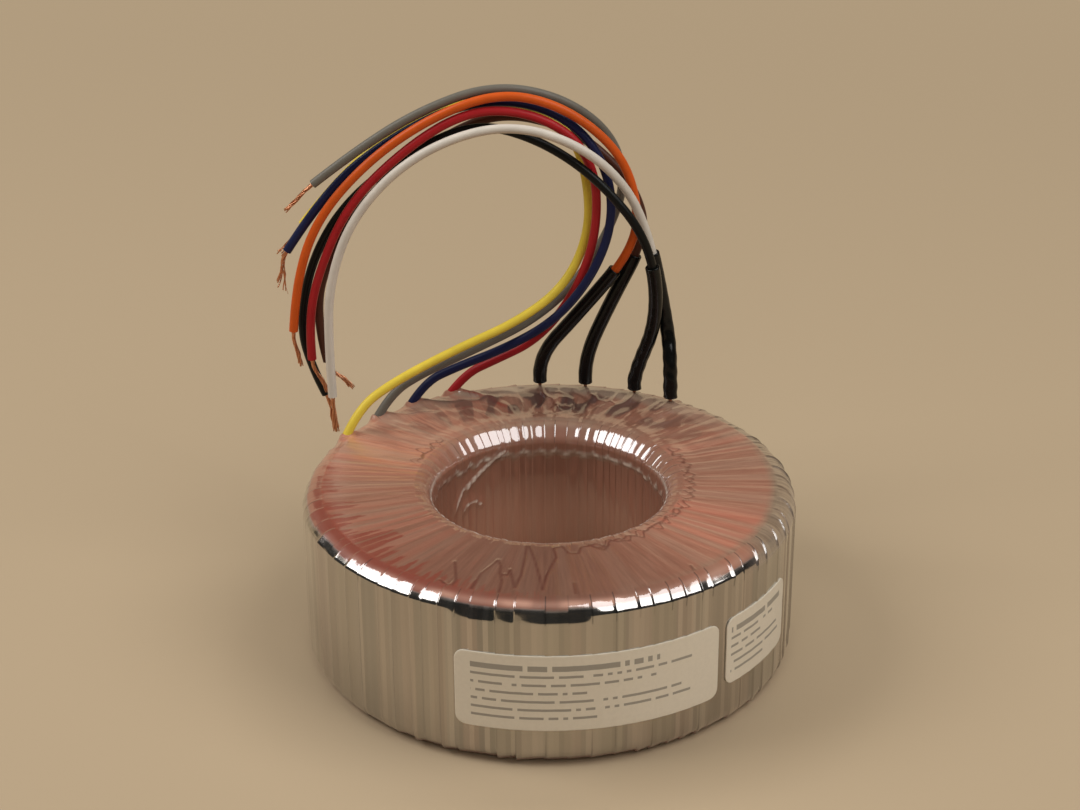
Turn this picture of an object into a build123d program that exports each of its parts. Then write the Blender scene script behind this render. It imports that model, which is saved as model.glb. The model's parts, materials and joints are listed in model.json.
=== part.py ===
"""Toroidal mains transformer with eight flying leads, in millimetres.

A ring of tape-wound steel carries two primary and two secondary windings. A barrier film lies under
and over the primaries, a thin steel band closes the outer wall, and lapped turns of clear film close
the whole ring. The ring stands on its flat underside, centred on the origin, with its axis along +Z.
"""
import os
from math import cos, degrees, pi, radians, sin, tan
from typing import NamedTuple

from build123d import *

os.makedirs("parts", exist_ok=True)

# The finished ring
ring_od = 150.0
ring_height = 53.0
bore_d = 71.0
outer_shoulder_r = 6.0
bore_shoulder_r = 5.0

# The lapped film that closes it
film_wall = 0.6
film_bore = 0.5
film_face = 0.4
tape_turns = 72
tape_lap_step = 0.25
tape_groove_w = 0.5
tape_groove_depth = 0.15

# The steel band on the outer wall
band_t = 0.3

# The build of one winding, which is thickest in the bore, where its turns crowd
winding_wall = 1.2
winding_bore = 2.3
winding_face = 1.6

# The barrier films and the core's edge
barrier_t = 0.5
core_edge_r = 0.8

# The winding ends that rise to the primary leads
tail_d = 1.1
tail_slack = 0.15
tail_inset = 1.5
tail_rise = 4.5

# The leads: stranded copper in a plastic jacket, stripped at the far end
lead_od = 2.9
lead_slack = 0.1
conductor_d = 1.2
conductor_slack = 0.05
bare_length = 13.0
root_depth = 2.0
arc_run_share = 0.45

# The black sleeves over the primary joints
sleeve_od = 4.6
sleeve_lift = 2.5
sleeve_riser = 12.0

# The labels on the wall: height of the middle, width round the wall, height
label_t = 0.15
label_corner_r = 3.0
rating_label_deg = -80.7
rating_label_mid = 24.8
rating_label_w = 79.5
rating_label_h = 24.4
side_label_deg = -35.6
side_label_mid = 25.7
side_label_w = 32.0
side_label_h = 22.0

# Where each lead leaves the ring, in degrees round the axis from +X
primary_exit_deg = {"black": 65.0, "white": 53.7, "brown": 79.3, "orange": 92.1}
secondary_exit_deg = {"red": 116.8, "blue": 128.6, "grey": 140.2, "yellow": 153.3}
secondary_exit_slope_deg = 30.0

# The points that each lead passes after its exit
lead_points = {
    "black": [
        (35, 56.8, 88), (31.5, 50.5, 112), (16, 53, 131), (-2, 57, 142.5), (-21.5, 60.8, 147),
        (-41, 62.3, 138), (-62, 62.3, 122.5), (-75, 62.3, 102.5), (-80.5, 62.3, 78.5), (-77, 62.3, 62.5),
        (-73, 62.3, 53.5),
    ],
    "white": [
        (40.5, 58.5, 86), (32.5, 59, 113.5), (18, 52.5, 137), (-2, 52.5, 147.5), (-21.5, 53.3, 147.5),
        (-44, 53.8, 137), (-61.5, 53.8, 118), (-69.5, 53.8, 95.5), (-70.5, 53.8, 74.5), (-70, 53.8, 56.5),
    ],
    "brown": [
        (20, 65.8, 83), (32, 65, 108), (28.5, 65.5, 122.5), (18.5, 67, 134.5), (6, 69, 143),
        (-14.5, 70, 147.5), (-33.5, 67.5, 140), (-53.5, 66, 125), (-68, 65, 105.5), (-76, 63, 83.5),
        (-72, 62, 65.5),
    ],
    "orange": [
        (9.5, 64.8, 80), (29, 61, 106), (28, 61.5, 125), (20.5, 59.5, 140.5), (4, 58, 153.5),
        (-15, 58, 157.5), (-36, 58, 149.5), (-56, 58, 135.5), (-73, 58, 116), (-80.5, 58, 94),
        (-82, 58, 78),
    ],
    "red": [
        (-27.5, 65.2, 59), (-17, 64.5, 64.5), (-4, 62.5, 72), (6.5, 60.5, 85.5), (13.5, 59.2, 101.5),
        (16, 58.2, 117), (15, 58, 132), (7.5, 58, 144.5), (-8, 58, 150.5), (-24, 58, 150), (-42, 58, 138.5),
        (-61.5, 58, 120.5), (-73.5, 58, 97), (-77, 58, 80), (-76.5, 58, 68),
    ],
    "blue": [
        (-40.5, 57.5, 59.5), (-30, 58.5, 64.5), (-13, 58.5, 71.5), (2.5, 57, 81.5), (14, 56, 96.5),
        (20.5, 57, 113), (20, 58.5, 129), (12, 60.5, 144), (-5, 62, 153.5), (-26, 62.2, 153),
        (-49, 62.2, 141.5), (-69.5, 62, 125), (-83, 61, 104.5),
    ],
    "grey": [
        (-51, 48, 60), (-40, 51.5, 66), (-22, 55.5, 73), (-4, 59.5, 81), (10, 66.5, 91.5), (20, 70.5, 107),
        (25.5, 71.5, 123.5), (20.5, 70, 140.5), (4.5, 65, 154), (-17, 61.7, 158.8), (-39.5, 60.3, 151),
        (-60, 60, 138), (-73.5, 59.5, 127.5),
    ],
    "yellow": [
        (-60.5, 35.5, 60.5), (-49, 41, 67.5), (-29, 48.5, 75.5), (-9, 54.5, 82.5), (6, 60, 92.5),
        (13.5, 63, 109), (13, 63.5, 127), (8, 65, 142.5), (-8, 66.5, 151.5), (-30, 66.5, 151.5),
        (-52.5, 66, 139.5), (-68, 65.5, 124.5), (-78, 65, 112),
    ],
}

# How far each sleeve reaches along the run from the second to the third point that its lead passes
sleeve_end_shares = {"black": 0.5, "white": 0.55, "brown": 0.7, "orange": 0.65}


class Section(NamedTuple):
    """A ring's cross-section: its bore and outer radius, its faces, and its corner radii."""

    bore_r: float
    outer_r: float
    bottom: float
    top: float
    outer_round: float
    bore_round: float


def inside(section, wall, bore, face):
    """The section left inside a layer with these thicknesses, with its corners kept concentric."""
    return Section(
        section.bore_r + bore,
        section.outer_r - wall,
        section.bottom + face,
        section.top - face,
        max(section.outer_round - wall, core_edge_r),
        max(section.bore_round - bore, core_edge_r),
    )


def ring_section(section, mode=Mode.ADD):
    """Draw a cross-section beside the axis, with its two outer and two bore corners rounded."""
    outer_corners = [(section.outer_r, section.bottom), (section.outer_r, section.top)]
    bore_corners = [(section.bore_r, section.top), (section.bore_r, section.bottom)]
    with BuildSketch(mode=Mode.PRIVATE) as profile:
        with BuildLine():
            Polyline(*outer_corners, *bore_corners, close=True)
        make_face()
        fillet(profile.vertices().group_by(Axis.X)[-1], radius=section.outer_round)
        fillet(profile.vertices().group_by(Axis.X)[0], radius=section.bore_round)
    add(profile.sketch, mode=mode)


def at_angle(radius, angle_deg, height):
    """The point at this radius, angle round the axis and height."""
    return Vector(radius * cos(radians(angle_deg)), radius * sin(radians(angle_deg)), height)


def corner_radii(route):
    """At each inner point: a share of the shorter run, over the tangent of half the turn."""
    radii = []
    for before, corner, after in zip(route, route[1:], route[2:]):
        run_in = corner - before
        run_out = after - corner
        half_turn = radians(run_in.get_angle(run_out)) / 2
        radii.append(arc_run_share * min(run_in.length, run_out.length) / tan(half_turn))
    return radii


# Cross-sections from the film inwards
ring_r = ring_od / 2
film_outside = Section(bore_d / 2, ring_r, 0, ring_height, outer_shoulder_r, bore_shoulder_r)
film_inside = inside(film_outside, film_wall, film_bore, film_face)
secondary_b = inside(film_inside, band_t, 0, 0)
secondary_a = inside(secondary_b, winding_wall, winding_bore, winding_face)
interwinding = inside(secondary_a, winding_wall, winding_bore, winding_face)
primary_b = inside(interwinding, barrier_t, barrier_t, barrier_t)
primary_a = inside(primary_b, winding_wall, winding_bore, winding_face)
core_film = inside(primary_a, winding_wall, winding_bore, winding_face)
core_section = inside(core_film, barrier_t, barrier_t, barrier_t)

# Lead exits: primary tails on the top face, secondary leads on the outer shoulder
tail_circle_r = ring_r - outer_shoulder_r - tail_inset
tail_top = ring_height + tail_rise
tail_foot = {colour: at_angle(tail_circle_r, angle, 0) for colour, angle in primary_exit_deg.items()}
exit_slope = radians(secondary_exit_slope_deg)
exit_r = ring_r - outer_shoulder_r + outer_shoulder_r * sin(exit_slope)
exit_height = ring_height - outer_shoulder_r + outer_shoulder_r * cos(exit_slope)
lead_routes = {}
for colour, angle in primary_exit_deg.items():
    foot = at_angle(tail_circle_r, angle, ring_height)
    riser_top = foot + Vector(0, 0, sleeve_riser)
    lead_routes[colour] = [foot, riser_top] + [Vector(*point) for point in lead_points[colour]]
for colour, angle in secondary_exit_deg.items():
    exit_point = at_angle(exit_r, angle, exit_height)
    lead_routes[colour] = [exit_point] + [Vector(*point) for point in lead_points[colour]]

# The way that the primaries' ends take up through the layers over them
tail_ways = {}
for winding, colours in {"a": ["black", "white"], "b": ["brown", "orange"]}.items():
    with BuildPart() as ways:
        with BuildSketch(Plane.XY.offset(ring_height / 2)):
            with Locations(*[tail_foot[colour] for colour in colours]):
                Circle(tail_d / 2 + tail_slack)
        extrude(amount=ring_height)
    tail_ways[winding] = ways.part

# Core: one long strip of grain-oriented steel wound into a ring
with BuildPart() as core:
    with BuildSketch(Plane.XZ):
        ring_section(core_section)
    revolve(axis=Axis.Z)
core.part.label = "core"
export_step(core.part, "parts/core.step")

# Film round the bare core
with BuildPart() as core_insulation:
    with BuildSketch(Plane.XZ):
        ring_section(core_film)
        ring_section(core_section, mode=Mode.SUBTRACT)
    revolve(axis=Axis.Z)
core_insulation.part.label = "core_insulation"
export_step(core_insulation.part, "parts/core_insulation.step")

# First primary, whose two ends rise to the black and white leads
with BuildPart() as primary_winding_a:
    with BuildSketch(Plane.XZ):
        ring_section(primary_a)
        ring_section(core_film, mode=Mode.SUBTRACT)
    revolve(axis=Axis.Z)
    with BuildSketch(Plane.XY.offset(primary_a.top - winding_face / 2)):
        with Locations(tail_foot["black"], tail_foot["white"]):
            Circle(tail_d / 2)
    extrude(amount=tail_top - primary_a.top + winding_face / 2)
primary_winding_a.part.label = "primary_winding_a"
export_step(primary_winding_a.part, "parts/primary_winding_a.step")

# Second primary, whose two ends rise to the brown and orange leads
with BuildPart() as primary_winding_b:
    with BuildSketch(Plane.XZ):
        ring_section(primary_b)
        ring_section(primary_a, mode=Mode.SUBTRACT)
    revolve(axis=Axis.Z)
    add(tail_ways["a"], mode=Mode.SUBTRACT)
    with BuildSketch(Plane.XY.offset(primary_b.top - winding_face / 2)):
        with Locations(tail_foot["brown"], tail_foot["orange"]):
            Circle(tail_d / 2)
    extrude(amount=tail_top - primary_b.top + winding_face / 2)
primary_winding_b.part.label = "primary_winding_b"
export_step(primary_winding_b.part, "parts/primary_winding_b.step")

# Film between the primaries and the secondaries
with BuildPart() as interwinding_insulation:
    with BuildSketch(Plane.XZ):
        ring_section(interwinding)
        ring_section(primary_b, mode=Mode.SUBTRACT)
    revolve(axis=Axis.Z)
    add(tail_ways.values(), mode=Mode.SUBTRACT)
interwinding_insulation.part.label = "interwinding_insulation"
export_step(interwinding_insulation.part, "parts/interwinding_insulation.step")

# The two secondaries
with BuildPart() as secondary_winding_a:
    with BuildSketch(Plane.XZ):
        ring_section(secondary_a)
        ring_section(interwinding, mode=Mode.SUBTRACT)
    revolve(axis=Axis.Z)
    add(tail_ways.values(), mode=Mode.SUBTRACT)
secondary_winding_a.part.label = "secondary_winding_a"
export_step(secondary_winding_a.part, "parts/secondary_winding_a.step")

with BuildPart() as secondary_winding_b:
    with BuildSketch(Plane.XZ):
        ring_section(secondary_b)
        ring_section(secondary_a, mode=Mode.SUBTRACT)
    revolve(axis=Axis.Z)
    add(tail_ways.values(), mode=Mode.SUBTRACT)
secondary_winding_b.part.label = "secondary_winding_b"
export_step(secondary_winding_b.part, "parts/secondary_winding_b.step")

# Steel band on the straight part of the outer wall
band_bottom = film_inside.bottom + film_inside.outer_round
band_top = film_inside.top - film_inside.outer_round
with BuildPart() as flux_band:
    with BuildSketch(Plane.XY.offset(band_bottom)):
        Circle(film_inside.outer_r)
        Circle(secondary_b.outer_r, mode=Mode.SUBTRACT)
    extrude(amount=band_top - band_bottom)
flux_band.part.label = "flux_band"
export_step(flux_band.part, "parts/flux_band.step")

# Outer film: each turn of tape laps the one before it, which leaves a step down the wall and a line
# across the top; the leads come out through it
turn_deg = degrees(2 * pi) / tape_turns
lap_outline = []
for turn in range(tape_turns):
    lap_outline.append(at_angle(ring_r, turn * turn_deg, 0))
    lap_outline.append(at_angle(ring_r - tape_lap_step, (turn + 1) * turn_deg, 0))
flat_face_inner_r = bore_d / 2 + bore_shoulder_r
flat_face_w = ring_r - outer_shoulder_r - flat_face_inner_r
with BuildPart() as outer_wrap:
    with BuildSketch(Plane.XZ):
        ring_section(film_outside)
    revolve(axis=Axis.Z)
    with BuildSketch():
        with BuildLine():
            Polyline(*lap_outline, close=True)
        make_face()
    extrude(amount=ring_height, mode=Mode.INTERSECT)
    with BuildSketch(Plane.XZ):
        ring_section(film_inside)
    revolve(axis=Axis.Z, mode=Mode.SUBTRACT)
    with BuildSketch(Plane.XY.offset(ring_height)):
        with PolarLocations(flat_face_inner_r, tape_turns):
            Rectangle(flat_face_w, tape_groove_w, align=(Align.MIN, Align.CENTER))
    extrude(amount=-tape_groove_depth, mode=Mode.SUBTRACT)
    add(tail_ways.values(), mode=Mode.SUBTRACT)
    for colour in secondary_exit_deg:
        exit_point, next_point = lead_routes[colour][:2]
        with BuildSketch(Plane(origin=exit_point, z_dir=next_point - exit_point)):
            Circle(lead_od / 2 + lead_slack)
        extrude(amount=lead_od, both=True, mode=Mode.SUBTRACT)
outer_wrap.part.label = "outer_wrap"
export_step(outer_wrap.part, "parts/outer_wrap.step")

# The two labels: sheets with rounded corners, bent round the wall
for name, angle, mid, width, height in [
    ("rating_label", rating_label_deg, rating_label_mid, rating_label_w, rating_label_h),
    ("side_label", side_label_deg, side_label_mid, side_label_w, side_label_h),
]:
    chord = ring_od * sin(width / ring_od)
    outwards = at_angle(1, angle, 0)
    with BuildPart() as label:
        with BuildSketch(Plane(origin=(0, 0, mid), x_dir=at_angle(1, angle + 90, 0), z_dir=outwards)):
            RectangleRounded(chord, height, label_corner_r)
        extrude(amount=ring_od)
        with BuildSketch():
            Circle(ring_r + label_t)
            Circle(ring_r, mode=Mode.SUBTRACT)
        extrude(amount=ring_height, mode=Mode.INTERSECT)
    label.part.label = name
    export_step(label.part, f"parts/{name}.step")

# The wound ring that the roots of the secondary leads bear on
with BuildPart() as wound_ring:
    with BuildSketch(Plane.XZ):
        ring_section(secondary_b)
    revolve(axis=Axis.Z)

# Leads: a jacket and the stranded conductor through it, which shows at the stripped end
jacket_bore = conductor_d + 2 * conductor_slack
for colour, route in lead_routes.items():
    radii = corner_radii(route)
    first_run = (route[1] - route[0]).normalized()
    last_run = (route[-1] - route[-2]).normalized()
    from_primary = colour in primary_exit_deg
    start = route[0] + first_run * (tail_rise if from_primary else -root_depth)
    bare_tip = route[-1] + last_run * bare_length

    with BuildPart() as lead:
        with BuildLine() as lead_path:
            FilletPolyline(start, *route[1:], radius=radii)
        with BuildSketch(Plane(origin=start, z_dir=first_run)):
            Circle(lead_od / 2)
            Circle(jacket_bore / 2, mode=Mode.SUBTRACT)
        sweep()
        swept_volume = lead.part.volume
        if not from_primary:
            add(wound_ring.part, mode=Mode.SUBTRACT)
    lead.part.label = f"lead_{colour}"
    export_step(lead.part, f"parts/lead_{colour}.step")

    with BuildPart() as conductor:
        with BuildLine():
            FilletPolyline(start, *route[1:-1], bare_tip, radius=radii)
        with BuildSketch(Plane(origin=start, z_dir=first_run)):
            Circle(conductor_d / 2)
        sweep()
        if not from_primary:
            add(wound_ring.part, mode=Mode.SUBTRACT)
    conductor.part.label = f"conductor_{colour}"
    export_step(conductor.part, f"parts/conductor_{colour}.step")

    lead_length = sum(edge.length for edge in lead_path.edges())
    volume_ratio = swept_volume / (pi / 4 * (lead_od**2 - jacket_bore**2) * lead_length)
    print(f"lead_{colour}: {lead_length:.0f} mm, volume over section times length {volume_ratio:.4f}, radii")
    print(" ", " ".join(f"{radius:.0f}" for radius in radii))

# Sleeves slipped over the joints of the primary leads
for colour, end_share in sleeve_end_shares.items():
    route = lead_routes[colour]
    sleeve_start = route[0] + Vector(0, 0, sleeve_lift)
    sleeve_end = route[2] + (route[3] - route[2]) * end_share
    with BuildPart() as sleeve:
        with BuildLine():
            FilletPolyline(sleeve_start, route[1], route[2], sleeve_end, radius=corner_radii(route)[:2])
        with BuildSketch(Plane(origin=sleeve_start, z_dir=(0, 0, 1))):
            Circle(sleeve_od / 2)
            Circle(lead_od / 2 + lead_slack, mode=Mode.SUBTRACT)
        sweep()
    sleeve.part.label = f"sleeve_{colour}"
    export_step(sleeve.part, f"parts/sleeve_{colour}.step")
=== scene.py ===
"""A toroidal mains transformer with eight flying leads, dressed in the CAD model's frame, in metres.

The steel core, its windings and their barrier films come from the frame and get their finishes here.
The outer film, the labels, the leads with their stripped ends, and the sleeves are made as meshes.
"""
import json

import bpy
import numpy as np
from mathutils import Matrix, Vector


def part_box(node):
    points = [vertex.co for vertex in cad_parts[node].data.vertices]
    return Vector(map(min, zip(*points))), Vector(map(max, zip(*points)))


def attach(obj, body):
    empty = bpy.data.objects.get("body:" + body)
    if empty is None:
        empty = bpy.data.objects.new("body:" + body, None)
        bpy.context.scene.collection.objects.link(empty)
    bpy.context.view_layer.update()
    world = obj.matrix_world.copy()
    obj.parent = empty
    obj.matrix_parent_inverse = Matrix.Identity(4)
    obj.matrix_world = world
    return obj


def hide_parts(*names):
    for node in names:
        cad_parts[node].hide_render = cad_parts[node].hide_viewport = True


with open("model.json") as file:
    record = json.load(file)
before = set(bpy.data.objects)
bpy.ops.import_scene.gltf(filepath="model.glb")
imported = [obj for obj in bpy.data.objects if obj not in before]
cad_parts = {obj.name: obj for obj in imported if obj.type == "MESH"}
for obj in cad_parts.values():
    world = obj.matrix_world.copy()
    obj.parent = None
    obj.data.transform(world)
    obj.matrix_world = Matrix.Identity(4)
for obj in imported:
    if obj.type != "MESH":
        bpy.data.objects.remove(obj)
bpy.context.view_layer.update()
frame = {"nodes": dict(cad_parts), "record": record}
bpy.context.scene.view_settings.view_transform = "Standard"

# Core: one long strip of silicon steel wound into a ring, so its edges show as fine rings on both faces.
# It is annealed to a dull blue-grey and lies sealed under the windings.
steel_grey = (0.30, 0.31, 0.33, 1)
strip_pitch = 0.0003


def new_finish(name):
    """A new node material; returns it with its node tree and its Principled shader."""
    finish = bpy.data.materials.new(name)
    finish.use_nodes = True
    return finish, finish.node_tree, finish.node_tree.nodes["Principled BSDF"]


def add_node(tree, kind, inputs=None, **settings):
    """Adds a node with these settings. An input that is a socket is linked, any other is set."""
    made = tree.nodes.new("ShaderNode" + kind)
    for name, value in settings.items():
        setattr(made, name, value)
    for name, value in (inputs or {}).items():
        if isinstance(value, bpy.types.NodeSocket):
            tree.links.new(value, made.inputs[name])
        else:
            made.inputs[name].default_value = value
    return made


def math(tree, operation, first, second=0.0):
    """The result of one Math node on two sockets or numbers."""
    return add_node(tree, "Math", {0: first, 1: second}, operation=operation).outputs[0]


def blend_colour(tree, share, low, high):
    """The colour from low to high by a share from 0 to 1."""
    mixed = tree.nodes.new("ShaderNodeMix")
    mixed.data_type = "RGBA"
    for slot, value in ((0, share), (6, low), (7, high)):
        if isinstance(value, bpy.types.NodeSocket):
            tree.links.new(value, mixed.inputs[slot])
        else:
            mixed.inputs[slot].default_value = value
    return mixed.outputs[2]


def bump(tree, height, distance, strength=1.0):
    """A normal from a height socket, where a height of 1 stands this far out."""
    inputs = {"Height": height, "Distance": distance, "Strength": strength}
    return add_node(tree, "Bump", inputs).outputs["Normal"]


def paint_node(node, finish):
    """Gives a CAD node one finish."""
    frame["nodes"][node].data.materials.clear()
    frame["nodes"][node].data.materials.append(finish)


core_steel, tree, shader = new_finish("core_steel")
position = add_node(tree, "TexCoord").outputs["Object"]
strip_edges = add_node(
    tree, "TexWave", {"Vector": position, "Scale": np.pi / 10 / strip_pitch, "Distortion": 0.4},
    wave_type="RINGS", rings_direction="Z",
).outputs["Fac"]
temper = add_node(tree, "TexNoise", {"Vector": position, "Scale": 60.0, "Detail": 4.0}).outputs["Fac"]
tree.links.new(blend_colour(tree, temper, steel_grey, (0.40, 0.38, 0.36, 1)), shader.inputs["Base Color"])
tree.links.new(bump(tree, strip_edges, 0.00003), shader.inputs["Normal"])
shader.inputs["Metallic"].default_value = 0.9
shader.inputs["Roughness"].default_value = 0.45
paint_node("core", core_steel)

# Barrier films: polyester tape lapped round the bare core, and again between primaries and secondaries.
# It is a pale amber, semi-gloss film with shallow wrinkles.
barrier_film, tree, shader = new_finish("barrier_film")
position = add_node(tree, "TexCoord").outputs["Object"]
wrinkles = add_node(tree, "TexNoise", {"Vector": position, "Scale": 240.0, "Detail": 3.0}).outputs["Fac"]
amber = blend_colour(tree, wrinkles, (0.50, 0.34, 0.15, 1), (0.66, 0.50, 0.28, 1))
tree.links.new(amber, shader.inputs["Base Color"])
tree.links.new(bump(tree, wrinkles, 0.00015), shader.inputs["Normal"])
shader.inputs["Roughness"].default_value = 0.22
for node in ("core_insulation", "interwinding_insulation"):
    paint_node(node, barrier_film)

# Windings: enamelled copper wire laid side by side round the ring, two primaries under two secondaries.
# The enamel is a clear red-brown, and the turns run across the faces like spokes.
wire_turns = 300


def turn_share(tree):
    """The share of a whole turn round the ring's axis, from 0 to 1, and the place that it is read at."""
    position = add_node(tree, "TexCoord").outputs["Object"]
    axes = add_node(tree, "SeparateXYZ", {0: position})
    angle = math(tree, "ARCTAN2", axes.outputs["Y"], axes.outputs["X"])
    share = add_node(tree, "Math", {0: angle, 1: 1 / (2 * np.pi), 2: 0.5}, operation="MULTIPLY_ADD")
    return share.outputs[0], position


winding_copper, tree, shader = new_finish("winding_copper")
turn, position = turn_share(tree)
wires = math(tree, "SINE", math(tree, "MULTIPLY", turn, 2 * np.pi * wire_turns))
enamel = add_node(tree, "TexNoise", {"Vector": position, "Scale": 90.0, "Detail": 5.0}).outputs["Fac"]
copper = blend_colour(tree, enamel, (0.33, 0.10, 0.045, 1), (0.62, 0.26, 0.13, 1))
tree.links.new(copper, shader.inputs["Base Color"])
tree.links.new(bump(tree, wires, 0.0001), shader.inputs["Normal"])
shader.inputs["Metallic"].default_value = 0.75
shader.inputs["Roughness"].default_value = 0.3
for node in ("primary_winding_a", "primary_winding_b", "secondary_winding_a", "secondary_winding_b"):
    paint_node(node, winding_copper)

# Flux band: a thin strip of bright steel round the outer wall, under the film, which keeps stray field in.
# Rolling has left a fine grain along the strip.
band_steel, tree, shader = new_finish("band_steel")
position = add_node(tree, "TexCoord").outputs["Object"]
grain = add_node(tree, "Mapping", {"Vector": position, "Scale": (80, 80, 4000)}).outputs["Vector"]
brushed = add_node(tree, "TexNoise", {"Vector": grain, "Scale": 1.0, "Detail": 4.0}).outputs["Fac"]
rolled = blend_colour(tree, brushed, (0.5, 0.5, 0.49, 1), (0.7, 0.69, 0.67, 1))
tree.links.new(rolled, shader.inputs["Base Color"])
shader.inputs["Metallic"].default_value = 1.0
shader.inputs["Roughness"].default_value = 0.3
paint_node("flux_band", band_steel)

# Outer film: lapped turns of clear polyester tape pulled round the whole ring. Each turn is a flat facet on
# the wall, a small step over the shoulders, and a pleat where the turns crowd into the bore.
ring_corner = np.array(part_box("outer_wrap")[1])
ring_r = ring_corner[0]
ring_top = ring_corner[2]
bore_r = frame["record"]["mounts"][0]["dims"]["r_mm"] / 1000
outer_round = 0.006
bore_round = 0.005
tape_turns = 78
lap_step = 0.00025
rng = np.random.default_rng(7)


def make_surface(name, points, finish, shut_rows=False, caps=False, values=None):
    """A smooth mesh on a grid of points (copies, rows, columns, xyz), closed along its columns.

    Each four neighbours hold one quad. The rows close on themselves (shut_rows), or a flat cap shuts each
    end (caps). The faces are turned outwards: the sum of (corner . normal) over them is made positive.
    """
    copies, rows, columns = points.shape[:3]
    index = np.arange(copies * rows * columns).reshape(copies, rows, columns)
    across = np.roll(index, -1, axis=2)
    along = np.roll(index, -1, axis=1)
    onward = np.roll(along, -1, axis=2)
    last = rows if shut_rows else rows - 1
    quads = np.stack([index, across, onward, along], axis=-1)[:, :last].reshape(-1, 4)
    flat = points.reshape(-1, 3)
    corners = flat[quads]
    facing = np.cross(corners[:, 2] - corners[:, 0], corners[:, 3] - corners[:, 1])
    middle = corners.mean(axis=1) - flat.mean(axis=0)
    outwards = (middle * facing).sum() > 0
    loops = [quads if outwards else quads[:, ::-1]]
    starts = [np.arange(len(quads)) * 4]
    if caps:
        ends = np.concatenate([index[:, 0, ::-1], index[:, -1]])
        loops.append(ends if outwards else ends[:, ::-1])
        starts.append(len(quads) * 4 + np.arange(len(ends)) * columns)
    corner_list = np.concatenate([part.ravel() for part in loops]).astype(np.int32)
    start_list = np.concatenate(starts).astype(np.int32)
    mesh = bpy.data.meshes.new(name)
    mesh.vertices.add(len(flat))
    mesh.vertices.foreach_set("co", flat.ravel().astype(np.float32))
    mesh.loops.add(len(corner_list))
    mesh.loops.foreach_set("vertex_index", corner_list)
    mesh.polygons.add(len(start_list))
    mesh.polygons.foreach_set("loop_start", start_list)
    mesh.polygons.foreach_set("use_smooth", np.ones(len(start_list), bool))
    for label, value in (values or {}).items():
        attribute = mesh.attributes.new(label, "FLOAT", "POINT")
        attribute.data.foreach_set("value", value.ravel().astype(np.float32))
    mesh.update(calc_edges=True)
    mesh.materials.append(finish)
    piece = bpy.data.objects.new(name, mesh)
    bpy.context.scene.collection.objects.link(piece)
    return piece


def step_up(value, low, high):
    """Rises smoothly from 0 at low to 1 at high."""
    share = np.clip((value - low) / (high - low), 0, 1)
    return share * share * (3 - 2 * share)


def hump(value, middle, half_width):
    """A bell that is 1 at the middle and fades out past half_width: exp(-(distance / half_width)^2)."""
    return np.exp(-(((value - middle) / half_width) ** 2))


def ring_section():
    """The film's cross-section from the foot of the wall, up it and round to the foot again.

    Four straight runs join four quarter circles. Gives r, z, the normal's angle, and which run each is on.
    Station k of a run lies at the share k / count of it, raised to 1.3 in the bore, where the stations crowd
    near the lip. On the wall they crowd near its top: 1 - (1 - k / count) ^ 2.2.
    """
    flat_in, flat_out = bore_r + bore_round, ring_r - outer_round
    quarter = np.pi / 2
    wall_run, bore_run = 0, 4
    runs = []
    for run, (count, start, end, turn) in enumerate([
        (8, (ring_r, outer_round), (ring_r, ring_top - outer_round), 0),
        (14, (flat_out, ring_top - outer_round), outer_round, 0),
        (50, (flat_out, ring_top), (flat_in, ring_top), quarter),
        (14, (flat_in, ring_top - bore_round), bore_round, quarter),
        (28, (bore_r, ring_top - bore_round), (bore_r, bore_round), 2 * quarter),
        (3, (flat_in, bore_round), bore_round, 2 * quarter),
        (3, (flat_in, 0.0), (flat_out, 0.0), 3 * quarter),
        (7, (flat_out, outer_round), outer_round, 3 * quarter),
    ]):
        share = np.arange(count) / count
        if run == wall_run:
            share = 1 - (1 - share) ** 2.2
        if run == bore_run:
            share = share ** 1.3
        if np.isscalar(end):
            normal = turn + share * quarter
            r, z = start[0] + end * np.cos(normal), start[1] + end * np.sin(normal)
        else:
            r, z = (a + (b - a) * share for a, b in zip(start, end))
            normal = np.full(count, turn)
        runs.append(np.stack([r, z, normal, np.full(count, run)]))
    return np.concatenate(runs, axis=1)


def ring_noise(angle, height, waves, swirl, count=40):
    """Seeded noise that closes round the ring: a sum of cosines with whole wave counts round it.

    Each cosine also leans along the section by up to swirl radians per metre of height or radius.
    """
    number = rng.integers(waves[0], waves[1], count)[:, None, None]
    lean = rng.uniform(-swirl, swirl, count)[:, None, None]
    phase = rng.uniform(0, 2 * np.pi, count)[:, None, None]
    return np.cos(number * angle + lean * height + phase).sum(axis=0) / np.sqrt(count / 2)


def line_gap(x, y, line):
    """Distance from each point to a chain of straight runs, and the share of the chain passed there."""
    nearest = np.full(np.broadcast(x, y).shape, np.inf)
    passed = np.zeros(nearest.shape)
    for run, (start, end) in enumerate(zip(line, line[1:])):
        way = np.subtract(end, start)
        share = np.clip(((x - start[0]) * way[0] + (y - start[1]) * way[1]) / (way @ way), 0, 1)
        gap = np.hypot(x - start[0] - share * way[0], y - start[1] - share * way[1])
        passed = np.where(gap < nearest, (run + share) / (len(line) - 1), passed)
        nearest = np.minimum(nearest, gap)
    return nearest, passed


def turn_gap(angle_deg):
    """How far round the ring each column is from this angle, in degrees from -180 to 180."""
    return (np.degrees(angle) - angle_deg + 180) % 360 - 180


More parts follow.
